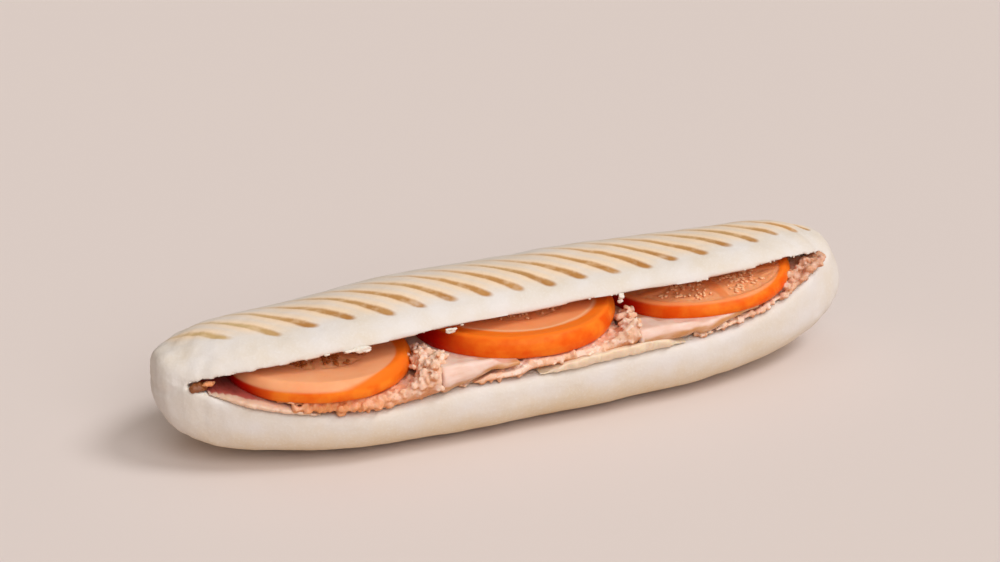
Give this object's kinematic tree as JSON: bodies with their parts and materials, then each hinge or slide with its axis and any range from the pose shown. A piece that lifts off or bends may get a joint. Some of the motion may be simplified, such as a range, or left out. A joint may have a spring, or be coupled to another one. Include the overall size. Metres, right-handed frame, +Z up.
{
  "type": "panini",
  "caption": "Grilled panini: a long white roll with charred grill stripes, open along its front over roast chicken, mild cheese and thick slices of tomato.",
  "frame": {"origin": "on the resting plane under the flat underside, midway along the roll's straight middle and midway between front and back", "axes": "+X along the roll towards its raised right end, -Y towards the open mouth, +Z up"},
  "size_m": [0.2678, 0.0809, 0.05],
  "materials": {
    "white_bread_crust": "matte, slightly wrinkled",
    "tomato_flesh": "wet, smooth",
    "mild_cheese": "soft satin",
    "sliced_roast_chicken": "moist satin",
    "torn_roast_chicken": "coarse, moist"
  },
  "bodies": {
    "root": {"roll": "white_bread_crust", "tomato_slice_left": "tomato_flesh", "tomato_slice_middle": "tomato_flesh", "tomato_slice_right": "tomato_flesh", "cheese_slice_left": "mild_cheese", "cheese_slice_right": "mild_cheese", "chicken_slice_middle": "sliced_roast_chicken", "chicken_slice_right": "sliced_roast_chicken", "chicken_pieces_left": "torn_roast_chicken", "chicken_pieces_middle": "torn_roast_chicken", "chicken_pieces_right": "torn_roast_chicken"}
  },
  "joints": []
}
